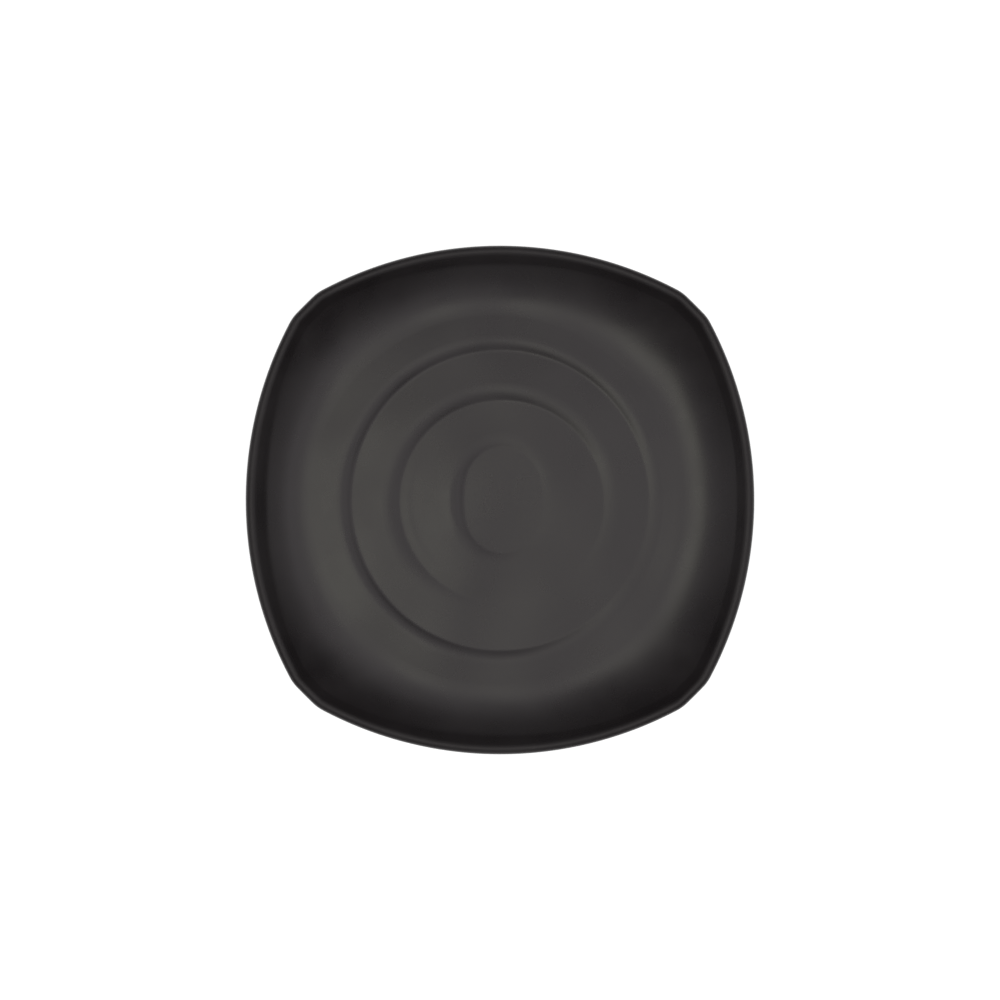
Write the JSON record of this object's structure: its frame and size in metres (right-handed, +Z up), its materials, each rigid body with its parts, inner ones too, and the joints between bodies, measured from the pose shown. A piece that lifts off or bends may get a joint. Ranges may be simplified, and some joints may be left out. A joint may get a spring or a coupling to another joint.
{
  "type": "square dinner plate",
  "caption": "Square coupe dinner plate with bowed sides, clipped corners, a full-round lip and throwing rings in a flat well, in satin black glaze on a bare stoneware foot ring.",
  "frame": {"origin": "centre of the foot ring, on the plane that the plate stands on", "axes": "+Z up through the centre of the well; +X and +Y through the middles of two neighbouring sides"},
  "size_m": [0.267, 0.267, 0.0254],
  "materials": {
    "black_glaze": "satin black glaze on stoneware, faintly mottled",
    "bare_stoneware": "unglazed fired stoneware, fine grained and matt"
  },
  "bodies": {
    "root": {"plate_body": "black_glaze", "foot_ring": "bare_stoneware"}
  },
  "joints": []
}
